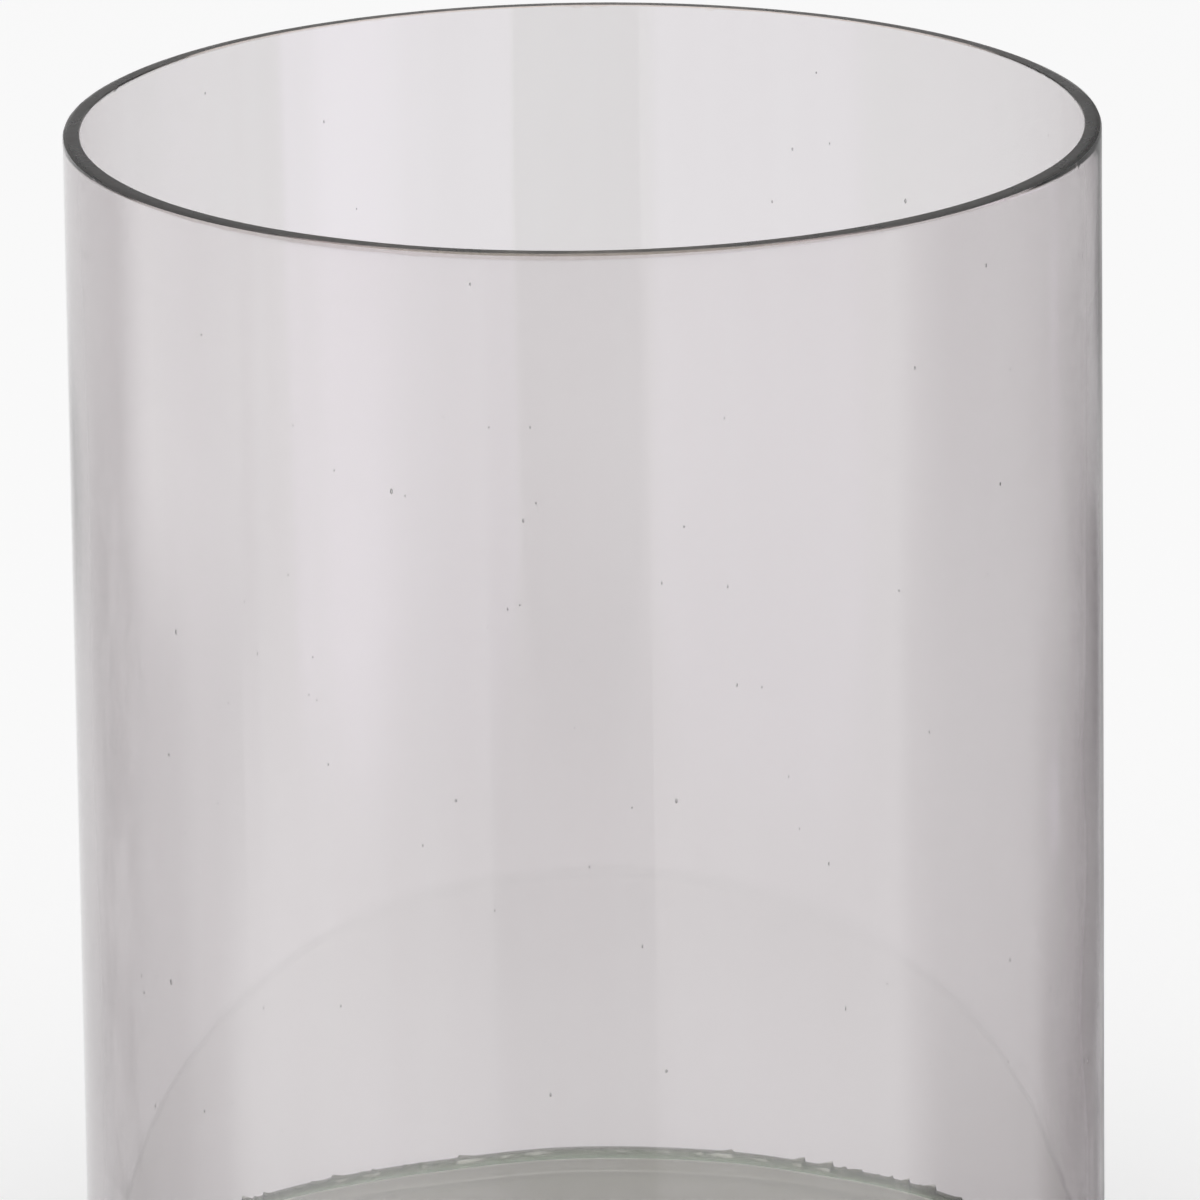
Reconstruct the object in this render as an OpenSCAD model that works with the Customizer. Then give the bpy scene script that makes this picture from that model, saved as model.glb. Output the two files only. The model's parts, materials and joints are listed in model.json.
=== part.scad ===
// Glass cylinder vase: a length of cut glass tube stood on a round plate of float glass
// and joined to it with a clear resin that cures under ultraviolet light.
// Millimetres, +Z up, origin at the centre of the underside.

/* [Vase] */
// Outside diameter of the tube and of the base plate
outer_d = 200; // [100:5:300]
// Height from the table to the rim
height = 250; // [120:5:500]

/* [Glass] */
// Wall thickness of the tube
wall_t = 3.5; // [2.5:0.25:6]
// Thickness of the float-glass base plate
base_t = 10; // [6:1:19]

/* [Ground edges] */
// How far the bevel outside the rim cuts into the flat of the rim
rim_bevel_w = 0.4; // [0.2:0.1:1]
// How far down the wall that bevel runs
rim_bevel_h = 0.8; // [0.2:0.1:2]
// Size of the small bevels inside the rim and on both edges of the tube's foot
tube_arris = 0.3; // [0.1:0.1:0.5]
// Size of the bevels on both edges of the base plate
plate_arris = 0.8; // [0.3:0.1:2]

/* [Resin] */
// Thickness of the resin between the tube and the plate
bond_t = 0.2; // [0.1:0.05:0.5]
// Size of the resin fillet squeezed out along the inside corner
fillet_r = 1.6; // [0.8:0.1:3]

/* [Hidden] */
outer_r = outer_d / 2;
inner_r = outer_r - wall_t;
foot_z = base_t + bond_t;
fillet_steps = 12;
round_fn = 180;

// Turns an outline of [radius, height] points into a ring or a disc.
module turned(outline) {
    rotate_extrude($fn = round_fn)
        polygon(outline);
}

// The wall: a straight tube, sawn square, with its rim ground flat and its edges bevelled.
module glass_tube() {
    color([0.82, 0.81, 0.82, 0.35])
        turned([
            [inner_r, foot_z + tube_arris],
            [inner_r + tube_arris, foot_z],
            [outer_r - tube_arris, foot_z],
            [outer_r, foot_z + tube_arris],
            [outer_r, height - rim_bevel_h],
            [outer_r - rim_bevel_w, height],
            [inner_r + tube_arris, height],
            [inner_r, height - tube_arris]
        ]);
}

// The cured resin: a thin ring under the tube's foot, and a hollow fillet along the inside corner.
module resin_bond() {
    fillet_curve = [
        for (i = [0 : fillet_steps])
            let (turn = 90 * i / fillet_steps)
            [inner_r - fillet_r * (1 - sin(turn)), base_t + fillet_r * (1 - cos(turn))]
    ];
    color([0.93, 0.94, 0.90, 0.5])
        turned(concat(
            [[outer_r - plate_arris, base_t]],
            [[outer_r - plate_arris, foot_z]],
            [[inner_r + tube_arris, foot_z]],
            [[inner_r, foot_z + tube_arris]],
            [for (i = [fillet_steps : -1 : 0]) fillet_curve[i]]
        ));
}

// The foot of the vase: a thick round plate with both edges bevelled.
module base_plate() {
    color([0.63, 0.72, 0.65, 0.5])
        turned([
            [0, 0],
            [outer_r - plate_arris, 0],
            [outer_r, plate_arris],
            [outer_r, base_t - plate_arris],
            [outer_r - plate_arris, base_t],
            [0, base_t]
        ]);
}

glass_tube();
resin_bond();
base_plate();
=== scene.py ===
"""Looks of the glass cylinder vase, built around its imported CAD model. Metres, +Z up."""

import json
import math
import random

import bpy
from mathutils import Matrix, Vector, noise


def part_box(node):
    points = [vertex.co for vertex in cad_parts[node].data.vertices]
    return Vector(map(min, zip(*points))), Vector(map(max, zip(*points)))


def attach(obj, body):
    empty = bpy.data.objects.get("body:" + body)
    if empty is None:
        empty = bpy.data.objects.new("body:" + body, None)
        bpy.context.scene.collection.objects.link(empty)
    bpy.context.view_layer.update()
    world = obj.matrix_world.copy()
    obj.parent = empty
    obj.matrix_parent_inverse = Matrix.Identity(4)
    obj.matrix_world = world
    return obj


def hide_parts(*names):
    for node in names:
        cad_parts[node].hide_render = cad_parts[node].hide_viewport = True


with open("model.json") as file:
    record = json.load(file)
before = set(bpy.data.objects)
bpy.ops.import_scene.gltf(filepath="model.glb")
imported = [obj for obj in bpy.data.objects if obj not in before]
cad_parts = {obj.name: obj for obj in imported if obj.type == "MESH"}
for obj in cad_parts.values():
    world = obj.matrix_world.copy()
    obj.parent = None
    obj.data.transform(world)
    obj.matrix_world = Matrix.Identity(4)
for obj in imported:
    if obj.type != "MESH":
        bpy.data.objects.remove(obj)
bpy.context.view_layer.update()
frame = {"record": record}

# ---------------------------------------------------------------- sizes, all from the frame

MM = 0.001
mounts = {m["name"]: m for m in frame["record"]["mounts"]}
tube_low, tube_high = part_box("glass_tube")
bond_low, bond_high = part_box("resin_bond")
plate_low, plate_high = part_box("base_plate")

OUTER_R = tube_high.x
INNER_R = mounts["mouth"]["dims"]["r_mm"] * MM
RIM_Z = tube_high.z
FOOT_Z = tube_low.z
PLATE_Z = plate_high.z

SEED = 20250
AROUND = 960  # steps round the tube
WALL_RINGS = 30  # rings up each face of the wall
PLATE_AROUND = 720  # steps round the base plate
RESIN_AROUND = 1440  # steps round the resin, fine enough for its tongues
SINK = 0.03 * MM  # how far bonded faces run into each other, so that no air film shows
FOOT_ARRIS = 0.12 * MM  # bevels on both edges of the tube's foot
RIM_WEAR = 0.35 * MM  # how far the rim's outer third is worn down towards the bevel
RIM_WEAR_SHARE = 0.36  # how much of the rim's width that wear takes up
PLATE_BEVEL = 0.45 * MM  # bevel on the plate's upper edge
PLATE_LOW_BEVEL = 0.1 * MM  # and on its lower edge
WALL_BUBBLES = 130
RESIN_BUBBLES = 90
TONGUE_LIMIT = 2.3  # millimetres that the resin climbs the wall at most


# Thick places in the wall. Each has its bearing from the right in degrees, then in millimetres
# its height, how much thicker the wall is in its middle, and how far it reaches up and down.
LUMPS = ((-14, 68, 0.24, 34), (14, 44, 0.24, 34), (-14, 124, 0.12, 20), (14, 100, 0.12, 20))
LUMP_REACH = 30 * MM  # how far they all reach round the wall, each way


def wave(angle, height, pitch, seed):
    """Smooth noise from -1 to 1 on a cylinder. pitch is the size of its lumps."""
    reach = OUTER_R / pitch
    at = Vector((math.cos(angle) * reach, math.sin(angle) * reach, height / pitch))
    return noise.noise(at + Vector((seed * 7.31, seed * 3.17, seed * 5.59)))


def mesh_piece(name, points, faces, flags, sharp=28):
    """A smooth-shaded mesh object whose edges over sharp degrees stay crisp.

    flags holds, for each face, how much it is ground: 0 for clear glass, 1 for a ground face.
    """
    mesh = bpy.data.meshes.new(name)
    mesh.from_pydata(points, [], faces)
    mesh.validate()
    layer = mesh.attributes.new("ground", "FLOAT", "FACE")
    layer.data.foreach_set("value", flags)
    mesh.shade_smooth()
    mesh.set_sharp_from_angle(angle=math.radians(sharp))
    piece = bpy.data.objects.new(name, mesh)
    bpy.context.scene.collection.objects.link(piece)
    return piece


def loft(rings, steps, closed=True):
    """Points and quads that join rings of the same length, each to the next."""
    points = [p for ring in rings for p in ring]
    faces = []
    count = len(rings)
    for i in range(count if closed else count - 1):
        j = (i + 1) % count
        for k in range(steps):
            n = (k + 1) % steps
            faces.append((i * steps + k, i * steps + n, j * steps + n, j * steps + k))
    return points, faces


def cavity(centre, radii, points, faces, flags):
    """Adds a small bubble, its faces turned inwards, to a mesh being made."""
    rows, columns = 6, 10
    top = len(points)
    points.append(centre + Vector((0, 0, radii.z)))
    for i in range(1, rows):
        down = math.pi * i / rows
        for j in range(columns):
            turn = 2 * math.pi * j / columns
            x = math.sin(down) * math.cos(turn) * radii.x
            y = math.sin(down) * math.sin(turn) * radii.y
            z = math.cos(down) * radii.z
            points.append(centre + Vector((x, y, z)))
    points.append(centre - Vector((0, 0, radii.z)))
    bottom = len(points) - 1
    for j in range(columns):
        n = (j + 1) % columns
        faces.append((top, top + 1 + n, top + 1 + j))
        for i in range(rows - 2):
            upper = top + 1 + i * columns
            lower = upper + columns
            faces.append((upper + j, upper + n, lower + n, lower + j))
        upper = top + 1 + (rows - 2) * columns
        faces.append((upper + j, upper + n, bottom))
        flags.extend([0.0] * rows)


# ---------------------------------------------------------------- the tube

def bevel_at(angle):
    """Width and height of the hand-ground bevel outside the rim."""
    slow = 0.5 + 0.5 * wave(angle, 0, 60 * MM, 1)
    fast = wave(angle, 0, 6 * MM, 2)
    width = (0.12 + 0.3 * slow ** 1.5 + 0.03 * fast) * MM
    height = width * (2.2 + 0.5 * wave(angle, 0, 25 * MM, 3))
    return width, height


def chip_at(angle):
    """Depth of the nicks along the bevel's lower edge."""
    rough = wave(angle, 0, 2.2 * MM, 4)
    where = wave(angle, 0, 14 * MM, 5)
    return min(0.4, max(0.0, rough - 0.1) * max(0.0, where - 0.1) * 3.2) * MM


def outer_radius(angle, z):
    """The outer face, which strays from the true radius by up to 0.18 mm, as drawn glass does."""
    return OUTER_R - (0.09 + 0.09 * wave(angle, z * 0.35, 42 * MM, 6)) * MM


def lump_at(angle, z):
    """How much thicker the wall is here, in millimetres, because of those places."""
    total = 0.0
    for side, height, thick, tall in LUMPS:
        along = math.remainder(angle - math.radians(side), 2 * math.pi) * INNER_R / LUMP_REACH
        up = (z - height * MM) / (tall * MM)
        total += thick * max(0.0, 1 - along ** 2 - up ** 2) ** 2
    return total


def inner_radius(angle, z):
    """The inner face, with the same kind of waves and the wall's thick places."""
    slow = 0.14 * wave(angle, z * 0.4, 30 * MM, 7)
    return INNER_R + (0.05 + slow - lump_at(angle, z)) * MM


def ring(steps, radius, height):
    """One closed ring of points. radius and height are functions of the angle."""
    made = []
    for k in range(steps):
        a = 2 * math.pi * k / steps
        r = radius(a)
        made.append(Vector((r * math.cos(a), r * math.sin(a), height(a))))
    return made


def tube():
    rings, kinds = [], []

    def add(radius, height, kind):
        rings.append(ring(AROUND, radius, height))
        kinds.append(kind)

    # Up the outside, over the rim, and down the inside. The last value of each ring says how
    # much the faces above it are ground.
    low = FOOT_Z + FOOT_ARRIS
    high_out = RIM_Z - 5 * MM
    high_in = RIM_Z - 4 * MM
    add(lambda a: outer_radius(a, FOOT_Z) - FOOT_ARRIS, lambda a: FOOT_Z, 0)
    for i in range(WALL_RINGS):
        z = low + (high_out - low) * i / (WALL_RINGS - 1)
        add(lambda a, z=z: outer_radius(a, z), lambda a, z=z: z, 0)
    add(
        lambda a: outer_radius(a, RIM_Z),
        lambda a: RIM_Z - RIM_WEAR - bevel_at(a)[1] - 0.5 * MM - chip_at(a),
        0,
    )
    add(
        lambda a: outer_radius(a, RIM_Z) - 0.02 * MM,
        lambda a: RIM_Z - RIM_WEAR - bevel_at(a)[1] - chip_at(a),
        0.4,
    )
    add(
        lambda a: outer_radius(a, RIM_Z) - bevel_at(a)[0] * 0.55 - chip_at(a) * 0.3,
        lambda a: RIM_Z - RIM_WEAR - bevel_at(a)[1] * 0.5,
        0.4,
    )
    for share in (0.0, 0.07, 0.15, 0.25, RIM_WEAR_SHARE, 0.65, 1.0):
        def flat_r(a, share=share):
            outside = outer_radius(a, RIM_Z) - bevel_at(a)[0]
            inside = inner_radius(a, RIM_Z) + (0.16 + 0.05 * wave(a, 0, 5 * MM, 8)) * MM
            return outside + (inside - outside) * share

        def flat_z(a, share=share):
            dip = 0.0 if share in (0.0, 1.0) else 0.012 * (1 + wave(a, share, 8 * MM, 9))
            worn = RIM_WEAR * max(0.0, 1 - share / RIM_WEAR_SHARE) ** 2
            return RIM_Z - dip * MM - worn

        add(flat_r, flat_z, 1)
    add(
        lambda a: inner_radius(a, RIM_Z),
        lambda a: RIM_Z - (0.2 + 0.06 * wave(a, 0, 7 * MM, 10)) * MM,
        0,
    )
    for i in range(WALL_RINGS):
        z = high_in + (low - high_in) * i / (WALL_RINGS - 1)
        add(lambda a, z=z: inner_radius(a, z), lambda a, z=z: z, 0)
    add(lambda a: inner_radius(a, FOOT_Z) + FOOT_ARRIS, lambda a: FOOT_Z, 0)

    points, faces = loft(rings, AROUND)
    flags = [float(k) for k in kinds for _ in range(AROUND)]
    dice = random.Random(SEED)
    for _ in range(WALL_BUBBLES):
        angle = dice.uniform(0, 2 * math.pi)
        z = dice.uniform(FOOT_Z + 6 * MM, RIM_Z - 6 * MM)
        r = (INNER_R + OUTER_R) / 2 + dice.uniform(-0.9, 0.9) * MM
        size = dice.choice((0.12, 0.15, 0.15, 0.18, 0.22, 0.3)) * MM
        radii = Vector((size * 0.8, size * 0.8, size * dice.uniform(1.0, 2.2)))
        at = Vector((r * math.cos(angle), r * math.sin(angle), z))
        cavity(at, radii, points, faces, flags)
    return mesh_piece("vase_tube", points, faces, flags)


# ---------------------------------------------------------------- the base plate

def base_plate():
    steps = PLATE_AROUND
    bevel = PLATE_BEVEL
    low_bevel = PLATE_LOW_BEVEL

    def edge(a):
        return OUTER_R - (0.06 + 0.06 * wave(a, 0, 30 * MM, 11)) * MM

    rings = []
    for share in (0.25, 0.5, 0.75, 0.92):
        rings.append(ring(steps, lambda a, s=share: s * OUTER_R, lambda a: 0.0))
    rings.append(ring(steps, lambda a: edge(a) - low_bevel, lambda a: 0.0))
    first_ground = len(rings) - 1
    rings.append(ring(steps, lambda a: edge(a) - 0.25 * low_bevel, lambda a: 0.3 * low_bevel))
    for share in (0.0, 0.35, 0.7, 1.0):
        z = low_bevel + (PLATE_Z - low_bevel - bevel) * share
        rings.append(ring(steps, edge, lambda a, z=z: z))
    rings.append(ring(steps, lambda a: edge(a) - 0.25 * bevel, lambda a: PLATE_Z - 0.3 * bevel))
    rings.append(ring(steps, lambda a: edge(a) - bevel, lambda a: PLATE_Z))
    rings.append(ring(steps, lambda a: INNER_R, lambda a: PLATE_Z))
    last_ground = len(rings) - 1
    for share in (0.92, 0.75, 0.5, 0.25):
        rings.append(ring(steps, lambda a, s=share: s * OUTER_R, lambda a: PLATE_Z))
    points, faces = loft(rings, steps, closed=False)
    flags = []
    for i in range(len(rings) - 1):
        flags += [1.0 if first_ground <= i < last_ground else 0.0] * steps
    bottom = len(points)
    points.append(Vector((0, 0, 0)))
    points.append(Vector((0, 0, PLATE_Z)))
    top_ring = (len(rings) - 1) * steps
    for k in range(steps):
        n = (k + 1) % steps
        faces.append((n, k, bottom))
        faces.append((top_ring + k, top_ring + n, bottom + 1))
        flags += [0.0, 0.0]
    return mesh_piece("vase_base_plate", points, faces, flags)


# ---------------------------------------------------------------- the resin

def resin():
    steps = RESIN_AROUND
    steps_up = 7

    def bead(a):
        """How far the squeezed-out bead reaches in from the wall."""
        slow = 0.5 + 0.5 * wave(a, 0, 16 * MM, 12)
        lobes = max(0.0, wave(a, 0, 4.5 * MM, 13))
        fine = wave(a, 0, 1.6 * MM, 14)
        return (0.8 + 1.1 * slow + 1.3 * lobes + 0.25 * fine) * MM

    def climb(a):
        """How far it climbs the wall: slanting tongues, drawn out where the tube was turned."""
        from_back = abs(math.remainder(a - math.pi / 2, 2 * math.pi)) * OUTER_R
        tall = min(TONGUE_LIMIT, 0.5 + 0.03 * from_back / MM)
        tongues = 0.0
        for pitch, share, seed in ((7.5, 1.0, 15), (3.8, 0.65, 16), (1.4, 0.2, 18)):
            along = from_back / (pitch * MM) + 0.5 * wave(a, 0, 2.5 * pitch * MM, seed)
            slope = along - math.floor(along)
            gate = min(1.0, max(0.0, 0.8 + 1.0 * wave(a, 0, 1.7 * pitch * MM, seed + 4)))
            tongues = max(tongues, tall * share * gate * slope ** 1.2)
        return min(TONGUE_LIMIT, 0.22 + 0.06 * wave(a, 0, 2 * MM, 19) + tongues) * MM

    def toe(a):
        return INNER_R - bead(a)

    top = FOOT_Z + SINK
    low = PLATE_Z - SINK
    out = OUTER_R - 0.3 * MM
    rings = [
        ring(steps, toe, lambda a: low),
        ring(steps, lambda a: out - 0.2 * MM * (1 + wave(a, 0, 5 * MM, 17)), lambda a: low),
        ring(steps, lambda a: out - 0.2 * MM * (1 + wave(a, 0, 5 * MM, 17)), lambda a: top),
        ring(steps, lambda a: inner_radius(a, FOOT_Z) + 0.3 * MM + SINK, lambda a: top),
        ring(steps, lambda a: inner_radius(a, FOOT_Z) + SINK, lambda a: FOOT_Z + 0.3 * MM),
    ]
    for i in range(steps_up + 1):
        turn = math.pi / 2 * i / steps_up

        def face_r(a, turn=turn):
            wall = inner_radius(a, FOOT_Z) + SINK
            return wall - (wall - toe(a)) * (1 - math.cos(turn)) ** 0.75

        def face_z(a, turn=turn):
            return PLATE_Z + 0.02 * MM + climb(a) * (1 - math.sin(turn)) ** 0.75

        rings.append(ring(steps, face_r, face_z))
    points, faces = loft(rings, steps)
    flags = [0.0] * len(faces)
    dice = random.Random(SEED + 1)
    for _ in range(RESIN_BUBBLES):
        a = dice.uniform(0, 2 * math.pi)
        reach = bead(a) * dice.uniform(0.15, 0.45)
        size = dice.uniform(0.05, 0.13) * MM
        r = INNER_R - reach
        at = Vector((r * math.cos(a), r * math.sin(a), PLATE_Z + size * 1.6))
        cavity(at, Vector((size, size, size)), points, faces, flags)
    return mesh_piece("vase_resin_bond", points, faces, flags, sharp=50)


# ---------------------------------------------------------------- materials

def node(tree, kind, **settings):
    made = tree.nodes.new(kind)
    for key, value in settings.items():
        setattr(made, key, value)
    return made


def glass_material(name, ior, absorb_colour, absorb_density):
    """Clear glass with a plain absorption in its body. Returns the parts a maker adds to."""
    mat = bpy.data.materials.new(name)
    mat.use_nodes = True
    tree = mat.node_tree
    tree.nodes.clear()
    out = node(tree, "ShaderNodeOutputMaterial")
    shader = node(tree, "ShaderNodeBsdfPrincipled")
    shader.inputs["Transmission Weight"].default_value = 1.0
    shader.inputs["IOR"].default_value = ior
    shader.inputs["Roughness"].default_value = 0.0
    shader.inputs["Base Color"].default_value = (1, 1, 1, 1)
    body = node(tree, "ShaderNodeVolumeAbsorption")
    body.inputs["Color"].default_value = (*absorb_colour, 1)
    body.inputs["Density"].default_value = absorb_density
    tree.links.new(shader.outputs["BSDF"], out.inputs["Surface"])
    tree.links.new(body.outputs["Volume"], out.inputs["Volume"])
    return mat, tree, shader


def coordinates(tree, scale=(1, 1, 1)):
    place = node(tree, "ShaderNodeTexCoord")
    mapping = node(tree, "ShaderNodeMapping")
    mapping.inputs["Scale"].default_value = scale
    tree.links.new(place.outputs["Object"], mapping.inputs["Vector"])
    return mapping.outputs["Vector"]


def noise_texture(tree, vector, scale, detail=2.0):
    made = node(tree, "ShaderNodeTexNoise")
    made.inputs["Scale"].default_value = scale
    made.inputs["Detail"].default_value = detail
    tree.links.new(vector, made.inputs["Vector"])
    return made.outputs["Fac"]


def ramp(tree, value, low, high, low_to=0.0, high_to=1.0):
    made = node(tree, "ShaderNodeMapRange")
    made.inputs["From Min"].default_value = low
    made.inputs["From Max"].default_value = high
    made.inputs["To Min"].default_value = low_to
    made.inputs["To Max"].default_value = high_to
    tree.links.new(value, made.inputs["Value"])
    return made.outputs["Result"]


def maths(tree, operation, a, b):
    made = node(tree, "ShaderNodeMath", operation=operation)
    for socket, value in zip(made.inputs, (a, b)):
        if isinstance(value, (int, float)):
            socket.default_value = value
        else:
            tree.links.new(value, socket)
    return made.outputs["Value"]


def flag_value(tree, name="ground"):
    """What a mesh stores under this name: how much a face is ground, or a place on a card."""
    made = node(tree, "ShaderNodeAttribute", attribute_name=name)
    return made.outputs["Fac"]


def blend_colour(tree, share, first, second):
    """One colour where share is 0 and another where it is 1."""
    made = node(tree, "ShaderNodeMix", data_type="RGBA")
    colours = [socket for socket in made.inputs if socket.type == "RGBA"]
    for socket, colour in zip(colours, (first, second)):
        if isinstance(colour, tuple):
            socket.default_value = (*colour, 1)
        else:
            tree.links.new(colour, socket)
    tree.links.new(share, made.inputs["Factor"])
    return next(socket for socket in made.outputs if socket.type == "RGBA")


def tube_tint(tree, ground):
    """Faint upright draw lines and a thin uneven film on the wall, and a warmer ground rim."""
    lines = noise_texture(tree, coordinates(tree, (1, 1, 0.015)), 210.0, 4.0)
    film = noise_texture(tree, coordinates(tree, (1, 1, 0.6)), 16.0, 5.0)
    lined = ramp(tree, lines, 0.35, 0.7, 0.0, 0.5)
    smeared = ramp(tree, film, 0.4, 0.75, 0.0, 0.5)
    dirt = maths(tree, "ADD", lined, smeared)
    wall = blend_colour(tree, dirt, (1.0, 1.0, 1.0), (0.978, 0.968, 0.97))
    grit = ramp(tree, noise_texture(tree, coordinates(tree), 700.0, 4.0), 0.35, 0.65)
    sawn = blend_colour(tree, grit, (0.88, 0.75, 0.65), (0.72, 0.58, 0.49))
    return blend_colour(tree, ground, wall, sawn)


def tube_glass():
    """Grey glass with a trace of lilac, rough and gritty where it is ground."""
    mat, tree, shader = glass_material("tube_glass", 1.5, (0.345, 0.28, 0.30), 100.0)
    ground = flag_value(tree)
    streaks = noise_texture(tree, coordinates(tree, (1, 1, 60)), 90.0, 3.0)
    sawn = ramp(tree, streaks, 0.3, 0.7, 0.22, 0.4)
    tree.links.new(maths(tree, "MULTIPLY", sawn, ground), shader.inputs["Roughness"])
    tree.links.new(tube_tint(tree, ground), shader.inputs["Base Color"])
    grit = noise_texture(tree, coordinates(tree), 2500.0, 2.0)
    bump = node(tree, "ShaderNodeBump")
    bump.inputs["Strength"].default_value = 0.35
    bump.inputs["Distance"].default_value = 0.02 * MM
    tree.links.new(maths(tree, "MULTIPLY", grit, ground), bump.inputs["Height"])
    tree.links.new(bump.outputs["Normal"], shader.inputs["Normal"])
    return mat


def float_glass():
    """Grey-green glass whose faces are tinted darker and browner in soft patches, and a ground edge."""
    mat, tree, shader = glass_material("float_glass", 1.52, (0.62, 0.7, 0.59), 12.0)
    ground = flag_value(tree)
    lines = noise_texture(tree, coordinates(tree, (1, 1, 8)), 300.0, 3.0)
    sawn = ramp(tree, lines, 0.3, 0.7, 0.01, 0.07)
    tree.links.new(maths(tree, "MULTIPLY", sawn, ground), shader.inputs["Roughness"])
    # The faces are tinted darker, greyer and browner, in broad soft patches and a fine mottle.
    patches = noise_texture(tree, coordinates(tree), 60.0, 5.0)
    fine_mottle = noise_texture(tree, coordinates(tree), 420.0, 3.0)
    broad = ramp(tree, patches, 0.35, 0.65, 0.0, 0.6)
    fine = ramp(tree, fine_mottle, 0.35, 0.65, 0.0, 0.4)
    face_darkening = maths(tree, "ADD", broad, fine)
    faces = blend_colour(tree, face_darkening, (0.79, 0.775, 0.725), (0.68, 0.66, 0.59))
    edge = blend_colour(tree, ground, faces, (0.97, 0.985, 0.97))
    tree.links.new(edge, shader.inputs["Base Color"])
    bump = node(tree, "ShaderNodeBump")
    bump.inputs["Strength"].default_value = 0.2
    bump.inputs["Distance"].default_value = 0.02 * MM
    tree.links.new(maths(tree, "MULTIPLY", lines, ground), bump.inputs["Height"])
    tree.links.new(bump.outputs["Normal"], shader.inputs["Normal"])
    return mat


def clear_resin():
    """Nearly clear resin with a fine rough skin and a slight haze."""
    mat, tree, shader = glass_material("clear_resin", 1.5, (0.55, 0.55, 0.4), 60.0)
    skin = noise_texture(tree, coordinates(tree), 900.0, 3.0)
    tree.links.new(ramp(tree, skin, 0.3, 0.7, 0.05, 0.25), shader.inputs["Roughness"])
    haze = ramp(tree, noise_texture(tree, coordinates(tree), 160.0, 3.0), 0.35, 0.65)
    tint = blend_colour(tree, haze, (0.87, 0.87, 0.83), (0.77, 0.78, 0.72))
    tree.links.new(tint, shader.inputs["Base Color"])
    bump = node(tree, "ShaderNodeBump")
    bump.inputs["Strength"].default_value = 0.4
    bump.inputs["Distance"].default_value = 0.05 * MM
    tree.links.new(skin, bump.inputs["Height"])
    tree.links.new(bump.outputs["Normal"], shader.inputs["Normal"])
    return mat


# ---------------------------------------------------------------- the pieces

for maker, material, cad_node, slot in (
    (tube, tube_glass, "glass_tube", "tube_glass"),
    (base_plate, float_glass, "base_plate", "float_glass"),
    (resin, clear_resin, "resin_bond", "clear_resin"),
):
    piece = maker()
    piece.data.materials.append(material())
    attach(piece, "root")
    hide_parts(cad_node)

# ---------------------------------------------------------------- floor, light and camera

scene = bpy.context.scene
scene.view_settings.view_transform = "Standard"
scene.view_settings.look = "None"


FLOOR_GLOW = 0.3  # keeps the floor by the foot nearly as light as the rest


def floor():
    """A wide pale floor, a hair below the vase's foot."""
    half = 16.0
    z = -0.2 * MM
    corners = [(-half, -half, z), (half, -half, z), (half, half, z), (-half, half, z)]
    mesh = bpy.data.meshes.new("floor")
    mesh.from_pydata(corners, [], [(0, 1, 2, 3)])
    made = bpy.data.objects.new("floor", mesh)
    scene.collection.objects.link(made)
    mat = bpy.data.materials.new("pale_floor")
    mat.use_nodes = True
    shader = mat.node_tree.nodes["Principled BSDF"]
    shader.inputs["Base Color"].default_value = (0.8, 0.8, 0.8, 1)
    shader.inputs["Roughness"].default_value = 1.0
    shader.inputs["Specular IOR Level"].default_value = 0.0
    shader.inputs["Emission Color"].default_value = (1, 1, 1, 1)
    shader.inputs["Emission Strength"].default_value = FLOOR_GLOW
    mat.cycles.emission_sampling = "NONE"
    mesh.materials.append(mat)


def sky():
    """A soft dome, pale at the horizon and overhead.

    Only the rim and the base plate mirror the darker band between.
    """
    world = bpy.data.worlds.new("soft_sky")
    scene.world = world
    world.use_nodes = True
    tree = world.node_tree
    background = tree.nodes["Background"]
    place = node(tree, "ShaderNodeTexCoord")
    parts = node(tree, "ShaderNodeSeparateXYZ")
    tree.links.new(place.outputs["Generated"], parts.inputs[0])
    shades = node(tree, "ShaderNodeValToRGB")
    tree.links.new(parts.outputs["Z"], shades.inputs["Fac"])
    # Each stop is a height in the dome, from 0 at the horizon to 1, and how light it is there.
    stops = ((0.0, 1.54), (0.08, 1.5), (0.18, 0.55), (0.38, 0.55), (0.6, 1.4), (1.0, 1.62))
    for i, (at, level) in enumerate(stops):
        stop = shades.color_ramp.elements[i] if i < 2 else shades.color_ramp.elements.new(at)
        stop.position = at
        stop.color = (level / 2, level / 2, level / 2, 1)
    tree.links.new(shades.outputs["Color"], background.inputs["Color"])
    background.inputs["Strength"].default_value = 2.0 * SKY_LEVEL


def overhead_light(height, size, radiance):
    """One large soft light over the vase."""
    data = bpy.data.lights.new("overhead", "AREA")
    data.shape = "SQUARE"
    data.size = size
    data.energy = radiance * size * size * math.pi
    made = bpy.data.objects.new("overhead", data)
    made.location = (0, 0, height)
    made.visible_camera = False
    scene.collection.objects.link(made)


def edge_share(tree, place, length, first, last, widen=None):
    """Rises from 0 to 1 over the first stretch of a card, and falls to 0 over its last.

    Where widen is given, both stretches are longer by it.
    """
    rise = ramp(tree, place, 0.0, first)
    fall = ramp(tree, place, length, length - last)
    if widen is not None:
        tree.links.new(maths(tree, "ADD", first, widen), rise.node.inputs["From Max"])
        tree.links.new(maths(tree, "SUBTRACT", length - last, widen), fall.node.inputs["From Max"])
    for made in (rise, fall):
        made.node.interpolation_type = "SMOOTHSTEP"
    return maths(tree, "MULTIPLY", rise, fall)


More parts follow.
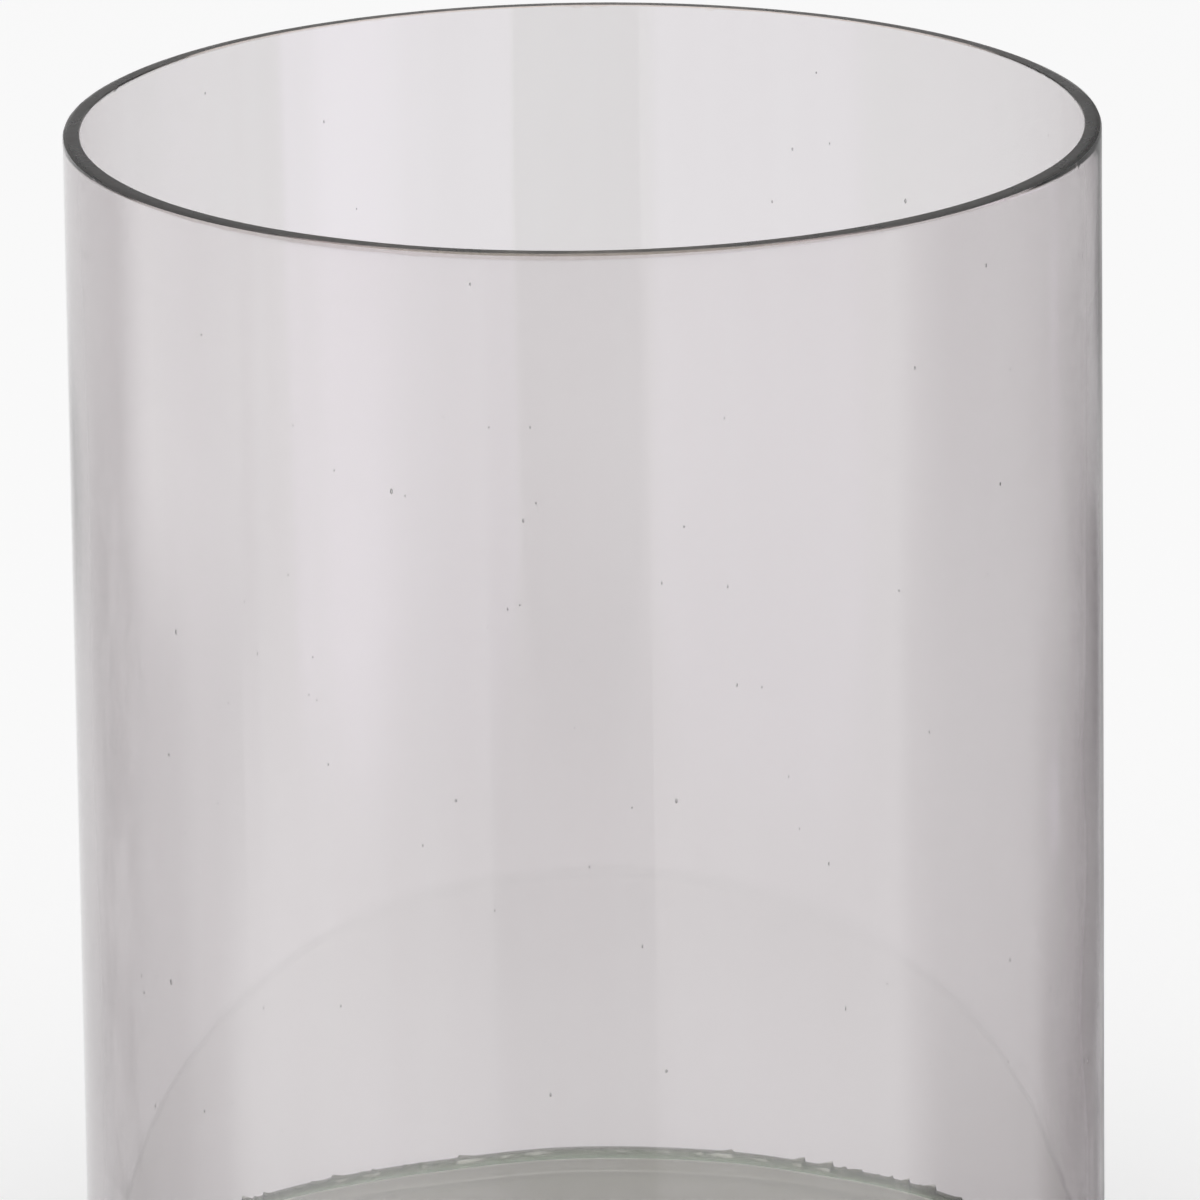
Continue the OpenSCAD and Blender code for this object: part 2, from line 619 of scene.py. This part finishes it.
def card(name, bearings, distance, heights, radiance, strength, soft,
         tint=(1, 1, 1), patchy=0.0, flared=False):
    """A curved upright card, light or dark, that shows only where the glass mirrors it.

    It stands between two bearings, in degrees, at a distance from the vase's axis. Bearing 0 is
    towards the camera and 90 to its right. soft is how far the card fades in from its first
    bearing, its second bearing, its foot and its top. strength is how much of what lies behind
    the card it hides, and a patchy card hides less of it in soft lumps. The sides of a flared
    card are softer towards its foot, so that the base plate mirrors no hard edge.
    """
    columns = 24
    start, end = (math.radians(b) for b in bearings)
    low, high = heights
    points, faces, across, up = [], [], [], []
    for i in range(columns + 1):
        turn = start + (end - start) * i / columns
        for z in heights:
            points.append((distance * math.sin(turn), -distance * math.cos(turn), z))
            across.append((turn - start) * distance)
            up.append(z - low)
    for i in range(columns):
        faces.append((2 * i, 2 * i + 2, 2 * i + 3, 2 * i + 1))
    mesh = bpy.data.meshes.new(name)
    mesh.from_pydata(points, [], faces)
    for label, values in (("across", across), ("up", up)):
        layer = mesh.attributes.new(label, "FLOAT", "POINT")
        layer.data.foreach_set("value", values)
    made = bpy.data.objects.new(name, mesh)
    scene.collection.objects.link(made)
    mat = bpy.data.materials.new(name)
    mat.use_nodes = True
    mat.cycles.emission_sampling = "NONE"
    tree = mat.node_tree
    tree.nodes.clear()
    width = (end - start) * distance
    widen = ramp(tree, flag_value(tree, "up"), 0.0, 0.07, 0.035, 0.0) if flared else None
    sides = edge_share(tree, flag_value(tree, "across"), width, soft[0], soft[1], widen)
    ends = edge_share(tree, flag_value(tree, "up"), high - low, soft[2], soft[3])
    share = maths(tree, "MULTIPLY", maths(tree, "MULTIPLY", sides, ends), strength)
    if patchy:
        lumps = noise_texture(tree, coordinates(tree), 30.0, 3.0)
        share = maths(tree, "MULTIPLY", share, ramp(tree, lumps, 0.38, 0.6, 1.0 - patchy, 1.0))
    clear = node(tree, "ShaderNodeBsdfTransparent")
    glow = node(tree, "ShaderNodeEmission")
    glow.inputs["Color"].default_value = (*tint, 1)
    glow.inputs["Strength"].default_value = radiance
    mix = node(tree, "ShaderNodeMixShader")
    out = node(tree, "ShaderNodeOutputMaterial")
    tree.links.new(share, mix.inputs[0])
    tree.links.new(clear.outputs[0], mix.inputs[1])
    tree.links.new(glow.outputs[0], mix.inputs[2])
    tree.links.new(mix.outputs[0], out.inputs["Surface"])
    mesh.materials.append(mat)
    made.visible_camera = False
    made.visible_diffuse = False
    made.visible_transmission = False
    made.visible_volume_scatter = False
    made.visible_shadow = False


SKY_LEVEL = 0.602  # sets how light the background comes out
LILAC = (1.03, 0.93, 1.13)  # the tint of the cards that the back wall mirrors
floor()
sky()
overhead_light(height=2.4, size=1.6, radiance=0.35)
OUTSIDE = 0.2  # how far from the axis the cards round the vase stand
INSIDE = 0.092  # and the cards within it, for what the back wall mirrors
LOW = 0.012  # the foot of those inner cards, just above the base plate
card("front_wide", (-74, 70), 0.215, (0, 0.23), 1.6, 1.0, (0.05, 0.05, 0.002, 0.01))
card("front_right", (10.1, 60), 0.205, (0, 0.23), 2.6, 1.0, (0.002, 0.02, 0.002, 0.01))
card("front_left", (-60, -15.6), 0.205, (0, 0.23), 2.2, 1.0, (0.003, 0.004, 0.002, 0.01))
card("left_hump", (-63.5, -24), OUTSIDE, (0, 0.23), 3.7, 0.85, (0.04, 0.08, 0.002, 0.01))
card("left_step", (-63.5, -24), 0.198, (0, 0.23), 3.2, 0.5, (0.002, 0.12, 0.002, 0.01))
card("left_foot", (-69, -14), 0.189, (0, 0.16), 4.6, 0.3, (0.02, 0.035, 0.002, 0.11))
card("left_high", (-100, -60), 0.195, (0.11, 0.25), 2.8, 0.9, (0.05, 0.01, 0.06, 0.01))
card("left_low", (-84, -60), OUTSIDE, (0, 0.2), 1.7, 1.0, (0.04, 0.01, 0.002, 0.05))
card("left_dark", (-122, -86), OUTSIDE, (0, 0.2), 0.0, 0.45, (0.05, 0.05, 0.002, 0.08), patchy=0.8)
card("front_top", (-74, 66), 0.19, (0.13, 0.25), 4.0, 0.35, (0.05, 0.05, 0.07, 0.01))
card("front_low", (-74, 66), 0.19, (0, 0.1), 4.6, 0.45, (0.05, 0.05, 0.002, 0.065))
card("back_a", (24, 75), INSIDE, (LOW, 0.24), 1.3, 1.0, (0.002, 0.03, 0.06, 0.01), LILAC, flared=True)
card("back_b", (48, 112), 0.09, (LOW, 0.24), 2.6, 1.0, (0.05, 0.03, 0.07, 0.01), LILAC, flared=True)
card("back_c", (95, 115.5), INSIDE, (LOW, 0.24), 1.8, 1.0, (0.02, 0.008, 0.07, 0.01), LILAC, flared=True)
card("back_d", (-110, -21), INSIDE, (LOW, 0.24), 1.25, 1.0, (0.02, 0.01, 0.05, 0.01), LILAC, flared=True)
card("back_gap", (-20, 24), INSIDE, (LOW, 0.24), 0.0, 1.0, (0.002, 0.002, 0.06, 0.01), flared=True)
card("dark_long", (66, 134), 0.14, (0, 0.34), 0.0, 0.65, (0.083, 0.01, 0.002, 0.1), patchy=0.3)
card("dark_low", (78, 118), 0.139, (0, 0.19), 0.0, 1.0, (0.02, 0.02, 0.002, 0.11), patchy=0.3)
card("dark_mid", (86, 118), 0.136, (0.03, 0.2), 0.0, 1.0, (0.025, 0.02, 0.05, 0.07), patchy=0.4)

# Seen from a little above, and from far enough off that the sides run almost parallel.
LOOK_DOWN = math.radians(16.07)
ROLL = math.radians(-0.73)
DISTANCE = 2.6886
AIM = Vector((0.0023, 0.0, 0.15465))
camera_data = bpy.data.cameras.new("camera")
camera_data.lens = 415.55
camera_data.sensor_width = 36.0
camera = bpy.data.objects.new("camera", camera_data)
back = Vector((0, -math.cos(LOOK_DOWN), math.sin(LOOK_DOWN)))
tilt = Matrix.Rotation(math.pi / 2 - LOOK_DOWN, 4, "X") @ Matrix.Rotation(ROLL, 4, "Z")
camera.matrix_world = Matrix.Translation(AIM + back * DISTANCE) @ tilt
scene.collection.objects.link(camera)
scene.camera = camera

scene.cycles.max_bounces = 32
scene.cycles.transmission_bounces = 32
scene.cycles.glossy_bounces = 24
scene.cycles.caustics_refractive = True
scene.cycles.caustics_reflective = True
